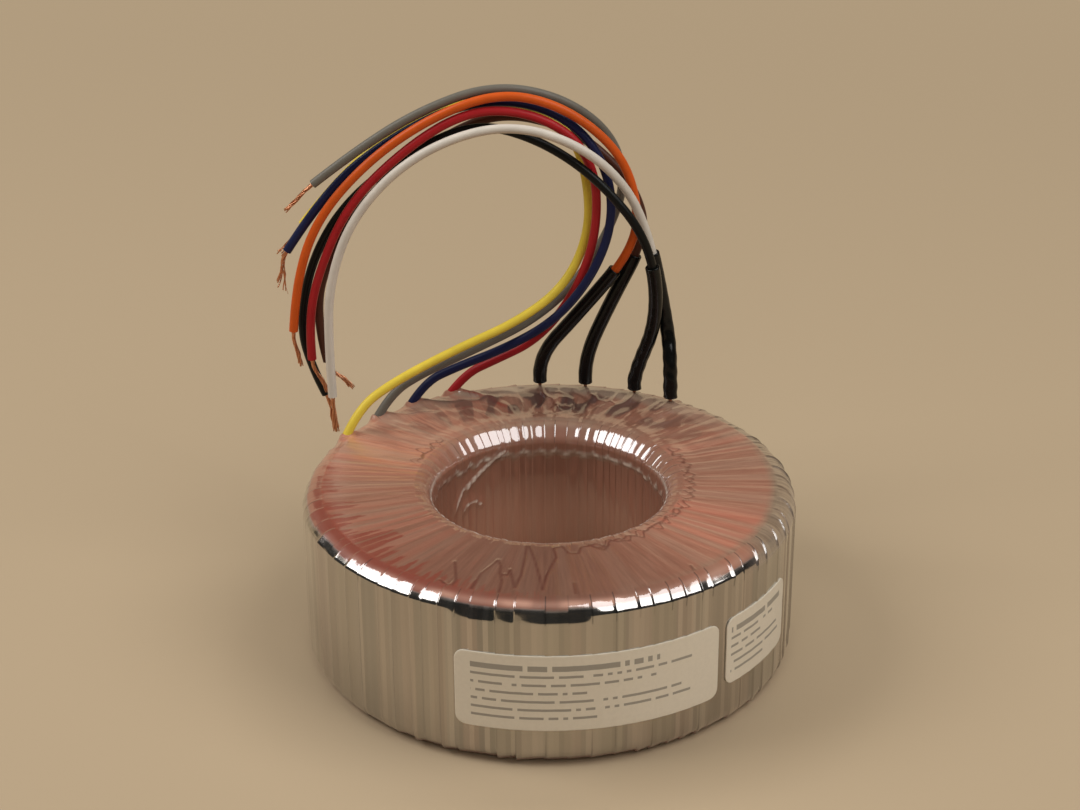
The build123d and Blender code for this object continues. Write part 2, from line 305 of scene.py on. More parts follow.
# The grid: rows follow the section, columns follow the tape, with two close columns at each tape edge.
section_r, section_z, section_turn, section_run = (row[:, None] for row in ring_section())
turn_width = rng.uniform(0.55, 1.45, tape_turns)
turn_width *= 2 * np.pi / turn_width.sum()
turn_start = np.cumsum(turn_width) - turn_width
in_turn = np.array([0, 0.04, 0.12, 0.24, 0.36, 0.5, 0.62, 0.74, 0.86, 0.96])
angle = (turn_start[:, None] + in_turn * turn_width[:, None]).ravel()[None]
lap = np.tile(in_turn, tape_turns)[None]
tape = np.repeat(np.arange(tape_turns), len(in_turn))[None]
tape_edge = (lap == 0) * 1.0
travel = section_r + section_z
on_wall, on_shoulder, on_top, on_lip, in_bore = (section_run == run for run in range(5))
on_foot = section_run == 7
flat_x = 1000 * section_r * np.cos(angle)
flat_y = 1000 * section_r * np.sin(angle)
right_side = hump(turn_gap(-14), 0, 36)
back_side = hump(turn_gap(86), 0, 44)
left_front = hump(turn_gap(-146), 0, 46)
right_film = step_up(turn_gap(-30), -12, -2) * (1 - step_up(turn_gap(-30), 60, 95))

# Tape on the wall and shoulders: flat facets that step down by one lap, each pulled a little unevenly. The
# steps are far lower on the top and in the bore, and lower where the film bridges the front shoulder.
shoulder_bow = np.sin(2 * section_turn) * (on_shoulder | on_foot) * np.where(on_foot, -1, 1)
sag = ring_r * (turn_width[tape] / 2) ** 2 / 2
front_bridge = 1 - step_up(np.abs(turn_gap(-96)), 12, 18)
bridged_lap = 1 - 0.7 * front_bridge * step_up(section_z, 0.036, 0.046)
stepped = np.select(
    [on_top, on_lip, in_bore, on_wall | on_shoulder], [0.015, 0.3, 0.45, bridged_lap], default=1.0)
lift = -(lap_step * lap + sag * (1 - (2 * lap - 1) ** 2)) * stepped
lift = lift + shoulder_bow * 0.0001 * rng.normal(size=tape_turns)[tape]
lift = lift + shoulder_bow * 0.0003 * (lap - 0.5) * rng.normal(size=tape_turns)[tape]
lift = lift + shoulder_bow * 0.000005 * ring_noise(angle, travel, (90, 260), 400)

# Film across the top: shallow radial waves, gathered into pleats round the lip of the bore. Below the lip
# its edge is rolled into a thin scalloped rim.
near_lip = hump(section_r, 0.0405, 0.0045) * (on_top | on_lip)
pleats = 0.00003 + 0.00005 * right_side
waves = 0.00003 - 0.000022 * hump(turn_gap(-140), 0, 45)
lift = lift + on_top * waves * ring_noise(angle, travel, (50, 150), 100)
lift = lift + near_lip * pleats * np.abs(ring_noise(angle, travel, (50, 160), 650))
lift = lift + (in_bore | on_lip) * 0.00005 * ring_noise(angle, travel, (20, 90), 50)
drop = ring_top - bore_round - section_z
rim_drop = 0.0018 + 0.0009 * np.abs(ring_noise(angle, 0 * travel, (9, 26), 0))
above_rim = 1 - step_up(drop, rim_drop, rim_drop + 0.001)

# Round the back the film bridges the lip in a broad flat roll. Its normal lags the quarter circle's by up to
# 20 degrees, so the film lifts by R tan(lag) for each radian away from the middle.
roll = 1 - step_up(np.abs(turn_gap(85)), 50, 88)
lip_turn = np.linspace(-np.pi / 4, np.pi / 4, 91)
lag = np.sign(lip_turn) * np.minimum(np.abs(lip_turn), 0.8 * (np.pi / 4 - np.abs(lip_turn)))
roll_lift = np.cumsum(bore_round * np.tan(lag)) * (lip_turn[1] - lip_turn[0])
roll_lift = roll_lift - roll_lift.min()
lift = lift + roll * on_lip * np.interp(section_turn - 0.75 * np.pi, lip_turn, roll_lift)
lift = lift + roll * on_top * roll_lift[0] * (1 - step_up(section_r, 0.0432, 0.0495))
rim_lift = roll * roll_lift[-1] + (1 - roll) * 0.0008 * step_up(drop, -0.001, 0.002)
lift = lift + in_bore * rim_lift * above_rim

# Slack film at the back, crumpled between the lead exits.
slack = back_side * step_up(section_r, 0.046, 0.052) * (1 - step_up(section_r, 0.066, 0.069)) * on_top
crumple = 1 - np.abs(ring_noise(angle, travel, (12, 46), 420, 24)) / 1.3
lift = lift + slack * 0.0006 * np.clip(crumple, -0.3, 1)

# Tents where a lead comes out, and ridges where its joint lies under the film: points in millimetres on
# the top, height in millimetres, half width in millimetres.
tents = [
    ([(-33.2, 64.1), (-29.6, 64.9)], 2.1, 1.7), ([(-45.6, 56.0), (-42.2, 57.1)], 2.1, 1.7),
    ([(-55.9, 45.8), (-52.8, 47.4)], 2.1, 1.7), ([(-64.9, 32.0), (-61.9, 34.4)], 2.1, 1.7),
    ([(-30.0, 64.5), (-25.0, 62.0), (-18.9, 57.1), (-13.9, 51.7)], 1.4, 1.7),
    ([(-42.5, 56.9), (-32.0, 55.2), (-22.2, 56.6), (-15.7, 58.6)], 1.2, 1.6),
    ([(-53.0, 47.0), (-44.6, 46.0), (-35.0, 48.0)], 0.9, 1.8),
    ([(28.5, 61.2), (27.0, 56.0)], 1.2, 1.8), ([(40.0, 54.4), (36.0, 49.0)], 1.2, 1.8),
    ([(12.5, 66.3), (13.5, 61.0), (16.5, 56.5), (21.0, 54.0)], 1.0, 1.0),
    ([(-2.5, 67.4), (-1.5, 62.0), (1.5, 56.0), (3.0, 50.0)], 1.0, 1.0),
]
red_joint, blue_joint = tents[4][0], tents[5][0]
facing_up = np.clip(np.sin(section_turn), 0, 1) * (on_top | on_shoulder)
for line, tall, wide in tents:
    gap, passed = line_gap(flat_x, flat_y, line)
    lift = lift + facing_up * 0.001 * tall * np.exp(-((gap / wide) ** 2)) * (1 - 0.55 * passed)

# Loose folds of film inside the bore: degrees round the ring and millimetres up.
bore_folds = [
    [(115.9, 46.8), (125.8, 42.8), (140.9, 37.9), (146.0, 32.7)],
    [(113.8, 47.2), (129.0, 41.0), (137.9, 37.6)],
    [(139.3, 30.9), (136.2, 32.5), (131.6, 32.4), (127.8, 30.4)],
]
mm_per_degree = 1000 * bore_r * np.pi / 180
far_gap = 9.0
fold_gap = np.full(lift.shape, far_gap)
for fold in bore_folds:
    flat_fold = [(degrees * mm_per_degree, up) for degrees, up in fold]
    gap = line_gap(np.degrees(angle) * mm_per_degree, 1000 * section_z, flat_fold)[0]
    fold_gap = np.minimum(fold_gap, np.where(in_bore | on_lip, gap, far_gap))
lift = lift + 0.0007 * hump(fold_gap, 0, 0.9)

# Creases pressed into the film on the top: points in millimetres. One more runs crinkled round the lip.
creases = [
    [(-6.5, -39.2), (-7.1, -47.5), (-8.2, -58.0), (-9.8, -64.8)],
    [(-6.2, -39.4), (-4.3, -49.3), (-3.0, -58.9), (-2.2, -66.1), (-1.1, -58.1), (1.8, -47.6), (1.0, -42.4),
     (3.6, -41.4), (5.3, -45.4), (8.2, -45.6), (8.9, -41.8), (11.6, -41.2), (15.4, -43.8), (16.8, -40.6)],
    [(-22.1, -66.3), (-19.4, -56.6), (-16.0, -51.4), (-14.7, -48.8), (-13.8, -52.7), (-14.2, -56.6),
     (-12.0, -57.9), (-11.2, -54.5), (-10.5, -60.5), (-10.0, -64.8)],
    [(-14.0, -57.1), (-13.5, -61.3), (-14.3, -67.3)], [(6.6, -62.4), (7.1, -69.0)],
    [(-26.9, -49.9), (-26.3, -60.4), (-27.7, -63.7), (-23.7, -68.8)],
    [(-30.8, -60.1), (-26.3, -67.0), (-24.3, -69.0), (-22.2, -65.7), (-20.7, -60.2)],
    [(38.9, -53.6), (41.2, -62.6)],
    tents[-2][0], tents[-1][0],
]
crease_gap = np.min([line_gap(flat_x, flat_y, line)[0] for line in creases], axis=0)
crinkled = 1 - step_up(np.abs(turn_gap(-24)), 50, 58)
crinkled = np.clip(crinkled + 1.1 * hump(turn_gap(152), 0, 26), 0, 1)
crinkle_gap = np.full(lift.shape, far_gap)
for crinkle_mid, shown_there in ((0.0422, crinkled), (0.0436, crinkled), (0.0462, back_side)):
    crinkle_r = crinkle_mid + 0.0009 * ring_noise(angle, 0 * travel, (24, 80), 0, 24)
    crinkle_gap = np.minimum(crinkle_gap, 1000 * np.abs(section_r - crinkle_r) + 3 * (1 - shown_there))
crumple_gap = 1.6 * np.abs(ring_noise(angle, travel, (10, 40), 420, 20)) + 4 * (1 - slack)
crinkle_gap = np.minimum(crinkle_gap, crumple_gap)
crease_gap = np.where(on_top, np.minimum(crease_gap, crinkle_gap), far_gap)
lift = lift + 0.00014 * hump(crease_gap, 0, 0.6)

# The film sinks no deeper than its own thickness, since the windings lie right under it.
deepest_top, deepest_wall, deepest_bridge = -0.00024, -0.0003, -0.00048
lift = np.maximum(lift, np.where(on_top | on_shoulder, deepest_top, deepest_wall))

# In front the film bridges the wall's top edge: it leans in round a radius of 4 mm, then runs on straight,
# 20 degrees off upright, until it meets the shoulder.
bridge_foot, bridge_round, bridge_slope = 0.0463, 0.004, 0.364
bridge_lean = np.arctan(bridge_slope)
bridge_up = np.clip(section_z - bridge_foot, 0, None)
bent_up = np.minimum(bridge_up, bridge_round * np.sin(bridge_lean))
bridge_in = bridge_round - np.sqrt(bridge_round ** 2 - bent_up ** 2) + bridge_slope * (bridge_up - bent_up)
pulled_in = np.maximum(bridge_in - (ring_r - section_r), 0) * (on_wall | on_shoulder)
lift = np.maximum(lift - front_bridge * pulled_in, deepest_bridge)

# On both sides of that it is pulled straight over the shoulder: it keeps to the wall's line, then bends onto
# a flat that touches the shoulder's round at 48 degrees. So it stands out by R (1 / cos(turn) - 1), with the
# turn from the nearer of the two lines.
facet_turn = 0.84
left_facets, right_facets = (
    1 - step_up(np.abs(turn_gap(middle)), wide, wide + 5) for middle, wide in ((-139, 23), (-62, 16)))
to_line = np.clip(np.minimum(section_turn, facet_turn - section_turn), 0, None) * on_shoulder
lift = lift + np.maximum(left_facets, right_facets) * outer_round * (1 / np.cos(to_line) - 1)

# On the right the tape runs over the top at a slant, which fades out again on the underside.
slant = np.radians(3.2) * right_side * step_up(section_turn, 0, np.pi / 2)
column = angle + slant * (1 - step_up(section_turn, 4.2, 6.2))
radius = section_r + np.cos(section_turn) * lift
height = section_z + np.sin(section_turn) * lift
film_points = np.stack([radius * np.cos(column), radius * np.sin(column), height + 0 * angle], axis=-1)[None]

# What shows through: steel on the wall and most of the shoulder, copper on the top and in the bore. The
# copper looks bright and hazy where the film stands off it, and dark red where the film is pressed on it.
# How lit the copper looks is painted light, as are a pale veil of painted reflection, painted highlights
# along the rim and high on the front shoulder, and painted shade at some tape edges.
steel_edge = 0.76 + 0.05 * rng.normal(size=tape_turns)[tape]
steel_shown = on_wall + on_shoulder * step_up(steel_edge - section_turn, -0.08, 0.08)
steel_shown = steel_shown * (1 - 0.8 * right_film * step_up(section_turn, 0.05, 0.3))
steel_shown = steel_shown + on_foot * step_up(section_turn, 5.5, 5.75)
stand_off = np.maximum(right_film * on_shoulder, right_side * on_top * step_up(section_r, 0.0660, 0.0692))
# Painted light: how lit the copper looks, from shaded at 0 to lit at 1 with a paler veil, set round the ring,
# darker up the bore and pulled towards the middle on the lip.
painted_light_by_turn = {
    -180: 0.48, -145: 0.28, -115: 0.1, -90: 0, -68: 0.18, -40: 0.66, 0: 0.42, 40: 0.4, 70: 0.25, 100: 0.25,
    130: 0.75, 155: 1.0,
}
painted_light_share = np.interp(np.degrees(angle), list(painted_light_by_turn), list(painted_light_by_turn.values()), period=360)
painted_light_share = np.where(in_bore, np.interp(section_z, [0.005, 0.026, 0.042], [0.72, 0.5, 0.18]), painted_light_share)
painted_light_share = np.where(on_lip, 0.5 * painted_light_share + 0.15, painted_light_share)
flame = np.clip(np.abs(ring_noise(angle, travel, (16, 110), 90, 30)) - 0.25, 0, 1.6)
flame_start = 0.0692 - left_front * (0.0025 + 0.0085 * flame)
pressed = step_up(section_r, flame_start, flame_start + 0.0025) * (on_top | on_shoulder)
pressed = pressed * (0.2 + 0.8 * left_front)
pressed = np.maximum(pressed, 0.25 * left_front * on_top)
pressed = np.maximum(pressed, 0.8 * on_top * hump(line_gap(flat_x, flat_y, red_joint)[0], 0, 1.3))
pressed = np.maximum(pressed, on_foot * step_up(5.75 - section_turn, 0, 0.2))
# Painted reflection: a pale veil over the copper, in patches that grow with the painted light share and fade
# in the bore, a pale band round the back of the lip, and a pale strip along the back edge of the top.
painted_veil = step_up(ring_noise(angle, travel, (12, 60), 40), -0.8, 1.3) * (0.15 + 0.6 * painted_light_share)
painted_veil = painted_veil * (1 - 0.6 * in_bore)
painted_lip_reflection = on_lip * hump(section_turn, 1.75, 0.3) + on_top * hump(section_r, 0.0415, 0.002)
painted_veil = painted_veil + hump(turn_gap(90), 0, 42) * painted_lip_reflection
painted_veil = painted_veil + 1.9 * back_side * on_top * step_up(section_r, 0.0605, 0.0645)
salmon = hump(turn_gap(-32), 0, 13) + 0.7 * hump(turn_gap(24), 0, 7) + 0.5 * hump(turn_gap(165), 0, 12)
salmon = salmon + 0.45 * hump(turn_gap(-148), 0, 20)
salmon = salmon * step_up(ring_noise(angle, travel, (20, 90), 30), -0.8, 0.8) * on_top
purple = slack * step_up(ring_noise(angle, travel, (10, 44), 380, 26), 0.0, 0.25)
purple = purple * (1 - 0.8 * step_up(section_r, 0.0615, 0.0640))
# Painted highlight: a bright copper-pink strip high on the front shoulder, broken up by noise.
painted_shoulder_highlight = on_shoulder * hump(section_turn, 0.98, 0.2) * hump(turn_gap(-92), 0, 50)
painted_shoulder_highlight = painted_shoulder_highlight * (0.45 + 0.55 * step_up(ring_noise(angle, travel, (9, 40), 0), -0.7, 0.9))
purple = np.maximum(purple, 0.8 * on_top * hump(line_gap(flat_x, flat_y, blue_joint)[0], 0, 1.1))
streaky = np.where(on_top, (0.5 + 0.5 * painted_light_share) * (1 - 0.8 * near_lip), np.where(on_lip, 0.12, 0.25))
streaky = np.where(on_shoulder, 0.25 + 0.75 * right_film, streaky)
# Painted highlight: a pale line along the film's rolled rim in the bore, stronger at the back left and right,
# and along the lip's edge towards the front.
rim_breaks = step_up(ring_noise(angle, travel, (20, 70), 0), -0.6, 0.6)
painted_rim_highlight = in_bore * hump(drop, rim_drop, 0.0006) * (0.3 + 0.7 * rim_breaks)
painted_rim_highlight = painted_rim_highlight * (0.6 + 0.8 * hump(turn_gap(40), 0, 32) + 0.5 * hump(turn_gap(128), 0, 22))
from_front = np.abs(turn_gap(-92))
lip_highlight_turn = np.interp(from_front, [0, 30, 60, 75, 92], [2.06, 2.1, 2.38, 2.68, 2.85])
painted_rim_highlight = painted_rim_highlight + 2.0 * on_lip * hump(section_turn, lip_highlight_turn, 0.1) * (1 - step_up(from_front, 60, 125))
# Painted shade: dark lines at some tape edges on the shoulders and lip, on the wall, and near the foot.
tape_edge_shade = tape_edge * (on_shoulder | on_lip) * (0.35 + 0.65 * (rng.uniform(size=tape_turns) > 0.45)[tape])
wall_edge_shade = tape_edge * on_wall * 0.5 * (rng.uniform(size=tape_turns) > 0.6)[tape]
foot_edge_shade = tape_edge * (rng.uniform(size=tape_turns) > 0.75)[tape] * hump(section_z, 0.004, 0.0035)
painted_edge_shade = np.maximum(np.maximum(tape_edge_shade, wall_edge_shade), foot_edge_shade * (section_r > 0.06))

clear_film, tree, shader = new_finish("clear_film")
turn, position = turn_share(tree)
film_values = {
    "steel_shown": steel_shown, "painted_light_share": painted_light_share, "pressed": pressed, "painted_veil": painted_veil, "salmon": salmon,
    "purple": purple, "painted_rim_highlight": painted_rim_highlight, "painted_edge_shade": painted_edge_shade, "crease_gap": crease_gap,
    "stand_off": stand_off, "streaky": streaky, "fold_gap": fold_gap, "painted_shoulder_highlight": painted_shoulder_highlight,
}
film_values = {name: value + 0 * lift for name, value in film_values.items()}
shown = {name: add_node(tree, "Attribute", attribute_name=name).outputs["Fac"] for name in film_values}
spoke = add_node(tree, "VectorMath", {0: position, 1: (1, 1, 0)}, operation="MULTIPLY").outputs[0]
spoke = add_node(tree, "VectorMath", {0: spoke}, operation="NORMALIZE").outputs[0]
spoke = add_node(tree, "VectorMath", {0: spoke, "Scale": 55.0}, operation="SCALE").outputs[0]
reach = add_node(tree, "VectorMath", {0: position, "Scale": 60.0}, operation="SCALE").outputs[0]
streak_place = add_node(tree, "VectorMath", {0: spoke, 1: reach}).outputs[0]
streak_inputs = {"Vector": streak_place, "Scale": 1.0, "Detail": 6.0, "Roughness": 0.62}
streaks = add_node(tree, "TexNoise", streak_inputs).outputs["Fac"]
sharp = add_node(tree, "MapRange", {"Value": streaks, "From Min": 0.3, "From Max": 0.7}).outputs[0]
sharp = math(tree, "MULTIPLY", math(tree, "SUBTRACT", sharp, 0.5), shown["streaky"])
sharp = math(tree, "ADD", sharp, 0.5)
# Painted light: a shaded and a lit copper, mixed by the streaks and set by the painted light share.
shaded = blend_colour(tree, shown["painted_light_share"], (0.125, 0.050, 0.031, 1), (0.40, 0.150, 0.088, 1))
lit = blend_colour(tree, shown["painted_light_share"], (0.25, 0.112, 0.070, 1), (0.66, 0.295, 0.185, 1))
copper = blend_colour(tree, sharp, shaded, lit)
copper = blend_colour(tree, math(tree, "MULTIPLY", shown["salmon"], 0.6), copper, (0.58, 0.165, 0.10, 1))
# Painted reflection: the pale veil over the copper.
copper = blend_colour(tree, math(tree, "MULTIPLY", shown["painted_veil"], 0.45), copper, (0.38, 0.275, 0.19, 1))
ragged = math(tree, "ADD", shown["pressed"], math(tree, "MULTIPLY", math(tree, "SUBTRACT", sharp, 0.5), 1.1))
flame_limits = {"Value": ragged, "From Min": 0.34, "From Max": 0.85, "To Max": 0.82}
flames = add_node(tree, "MapRange", flame_limits).outputs[0]
copper = blend_colour(tree, flames, copper, (0.25, 0.048, 0.028, 1))
# Painted highlight: the copper-pink strip on the front shoulder.
copper = blend_colour(tree, shown["painted_shoulder_highlight"], copper, (0.60, 0.315, 0.22, 1))
copper = blend_colour(tree, math(tree, "MULTIPLY", shown["purple"], 0.95), copper, (0.085, 0.042, 0.034, 1))


def drawn_line(gap, strength):
    """How strongly a thin line shows at a gap from it in millimetres: fully up to 0.1, and not past 0.7."""
    limits = {"Value": gap, "From Min": 0.1, "From Max": 0.7, "To Min": strength, "To Max": 0.0}
    return add_node(tree, "MapRange", limits).outputs[0]


crease = drawn_line(shown["crease_gap"], 0.75)
crease = math(tree, "MULTIPLY", crease, math(tree, "ADD", math(tree, "MULTIPLY", sharp, 1.3), 0.2))
copper = blend_colour(tree, crease, copper, (0.10, 0.022, 0.014, 1))
film_haze = blend_colour(tree, sharp, (0.12, 0.088, 0.052, 1), (0.36, 0.285, 0.19, 1))
copper = blend_colour(tree, math(tree, "MULTIPLY", shown["stand_off"], 0.8), copper, film_haze)
# Painted highlights: pale lines along the rolled rim, across the lip and on the folds in the bore.
painted_highlight = math(tree, "MAXIMUM", shown["painted_rim_highlight"], drawn_line(shown["fold_gap"], 0.9))
copper = blend_colour(tree, math(tree, "MULTIPLY", painted_highlight, 0.9), copper, (0.86, 0.74, 0.62, 1))


def tape_bands(count):
    """One random tone for each of this many equal bands round the ring."""
    band = math(tree, "FLOOR", math(tree, "MULTIPLY", turn, count))
    return add_node(tree, "TexWhiteNoise", {"W": band}, noise_dimensions="1D").outputs["Value"]


wall_tone = blend_colour(tree, tape_bands(310), (0.265, 0.247, 0.23, 1), (0.555, 0.518, 0.48, 1))
for count, most, tint in ((97, 0.5, (0.475, 0.375, 0.33, 1)), (61, 0.45, (0.35, 0.355, 0.295, 1))):
    wall_tone = blend_colour(tree, math(tree, "MULTIPLY", tape_bands(count), most), wall_tone, tint)
under = blend_colour(tree, shown["steel_shown"], copper, wall_tone)
# Painted shade: near-black lines at some tape edges.
under = blend_colour(tree, math(tree, "MULTIPLY", shown["painted_edge_shade"], 0.8), under, (0.03, 0.02, 0.015, 1))
tree.links.new(under, shader.inputs["Base Color"])
tree.links.new(math(tree, "MULTIPLY", shown["steel_shown"], 0.97), shader.inputs["Metallic"])
copper_shown = math(tree, "SUBTRACT", 1.0, shown["steel_shown"])
film_roughness = math(tree, "ADD", math(tree, "MULTIPLY", copper_shown, 0.25), 0.15)
tree.links.new(film_roughness, shader.inputs["Roughness"])
ripple = math(tree, "MULTIPLY", math(tree, "MULTIPLY", streaks, shown["streaky"]), copper_shown)
tree.links.new(bump(tree, ripple, 0.0003, 0.4), shader.inputs["Coat Normal"])
tree.links.new(bump(tree, ripple, 0.0002, 0.3), shader.inputs["Normal"])
shader.inputs["Coat Weight"].default_value = 1.0
shader.inputs["Coat Roughness"].default_value = 0.04
shader.inputs["Coat IOR"].default_value = 2.3

film_wrap = make_surface("film_wrap", film_points, clear_film, shut_rows=True, values=film_values)
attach(film_wrap, "root")
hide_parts("outer_wrap")

# Labels: two white paper labels with rounded corners, stuck to the wall over the film. The print is only
# rows of grey bars in place of words.
label_sizes = {
    "rating_label": {
        "turn": -80.7, "middle": 0.0248, "width": 0.0795, "height": 0.0244, "rows": 9, "cells": 58},
    "side_label": {
        "turn": -35.6, "middle": 0.0257, "width": 0.032, "height": 0.022, "rows": 8, "cells": 22},
}
label_corner = 0.003
label_lift = 0.0002


def rounded_outline(width, height, corner, count):
    """Points an even way apart round a rectangle whose corners are quarter circles."""
    bend = np.linspace(0, np.pi / 2, 9)
    quarter = np.arange(4)[:, None] * np.pi / 2 + bend
    side_x = np.array([1, -1, -1, 1])[:, None] * (width / 2 - corner)
    side_y = np.array([1, 1, -1, -1])[:, None] * (height / 2 - corner)
    loop = np.stack([side_x + corner * np.cos(quarter), side_y + corner * np.sin(quarter)], axis=-1)
    loop = loop.reshape(-1, 2)
    loop = np.vstack([loop, loop[:1]])
    run = np.concatenate([[0], np.cumsum(np.linalg.norm(np.diff(loop, axis=0), axis=1))])
    even = np.linspace(0, run[-1], count, endpoint=False)
    return np.stack([np.interp(even, run, loop[:, axis]) for axis in range(2)], axis=-1)


def label_finish(name, rows, cells):
    """White paper with rows of grey bars: each cell of a row holds ink or none, by white noise."""
    finish, tree, shader = new_finish(name)
    position = add_node(tree, "TexCoord").outputs["Object"]
    across, up = (
        add_node(tree, "Attribute", attribute_name=part).outputs["Fac"] for part in ("across", "up"))
    fibres = add_node(tree, "TexNoise", {"Vector": position, "Scale": 900.0, "Detail": 3.0}).outputs["Fac"]
    paper = blend_colour(tree, fibres, (0.70, 0.615, 0.485, 1), (0.78, 0.69, 0.55, 1))
    row_place = math(tree, "MULTIPLY", up, rows)
    row = math(tree, "FLOOR", row_place)
    off_row = math(tree, "ABSOLUTE", math(tree, "SUBTRACT", math(tree, "FRACT", row_place), 0.5))
    heading = math(tree, "MULTIPLY", math(tree, "GREATER_THAN", row, rows - 2.5), 0.17)
    in_row = math(tree, "LESS_THAN", off_row, math(tree, "ADD", heading, 0.15))
    cell_place = math(tree, "ADD", math(tree, "MULTIPLY", across, cells), math(tree, "MULTIPLY", row, 0.37))
    cell = math(tree, "FLOOR", cell_place)
    code = math(tree, "ADD", math(tree, "MULTIPLY", row, 61.7), cell)
    word = add_node(tree, "TexWhiteNoise", {"W": code}, noise_dimensions="1D").outputs["Value"]
    word = math(tree, "GREATER_THAN", word, 0.22)
    row_end = add_node(tree, "TexWhiteNoise", {"W": row}, noise_dimensions="1D").outputs["Value"]
    in_line = math(tree, "LESS_THAN", across, math(tree, "ADD", math(tree, "MULTIPLY", row_end, 0.42), 0.5))
    in_margin = math(tree, "GREATER_THAN", across, 0.06)
    off_middle = math(tree, "ABSOLUTE", math(tree, "SUBTRACT", up, 0.5))
    in_height = math(tree, "LESS_THAN", off_middle, 0.5 - 1 / rows)
    ink = math(tree, "MULTIPLY", in_row, word)
    for limit in (in_line, in_margin, in_height):
        ink = math(tree, "MULTIPLY", ink, limit)
    ink = math(tree, "MULTIPLY", ink, 0.62)
    tree.links.new(blend_colour(tree, ink, paper, (0.10, 0.09, 0.08, 1)), shader.inputs["Base Color"])
    tree.links.new(bump(tree, fibres, 0.00002, 0.5), shader.inputs["Normal"])
    shader.inputs["Roughness"].default_value = 0.42
    return finish


# The rows of a label run from the middle of its back out to the rim, and over it to the middle of its face.
ring_share = np.concatenate([np.linspace(0.02, 0.99, 16), [1.0, 1.0, 0.995], np.linspace(0.98, 0.02, 16)])
ring_out = np.concatenate([np.full(16, -1.5), [-1.4, 0.7, 1.0], np.ones(16)])
for name, size in label_sizes.items():
    outline = rounded_outline(size["width"], size["height"], label_corner, 240)
    flat = outline[None] * ring_share[:, None, None]
    turned = np.radians(size["turn"]) + flat[..., 0] / ring_r
    out = ring_r + label_lift * ring_out[:, None] + 0.00003 * np.sin(90 * turned)
    label_points = np.stack(
        [out * np.cos(turned), out * np.sin(turned), size["middle"] + flat[..., 1]], axis=-1)
    paper = label_finish(name + "_paper", size["rows"], size["cells"])
    label = make_surface(
        name + "_sheet", label_points[None], paper, caps=True,
        values={"across": flat[..., 0] / size["width"] + 0.5, "up": flat[..., 1] / size["height"] + 0.5},
    )
    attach(label, "root")
    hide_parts(name)

# Leads: eight stranded copper wires in coloured plastic, each about a quarter of a metre long. The four
# primaries start inside black sleeves on the top face; the four secondaries come out through the film.
lead_d = 0.0029
bare_length = 0.013
tail_rise = 0.0045
root_depth = 0.002
jacket_colour = {
    "black": (0.007, 0.007, 0.006), "white": (0.66, 0.59, 0.50), "brown": (0.075, 0.026, 0.015),
    "orange": (0.62, 0.095, 0.012), "red": (0.40, 0.017, 0.020), "blue": (0.013, 0.016, 0.055),
    "grey": (0.155, 0.138, 0.11), "yellow": (0.75, 0.55, 0.06),
}
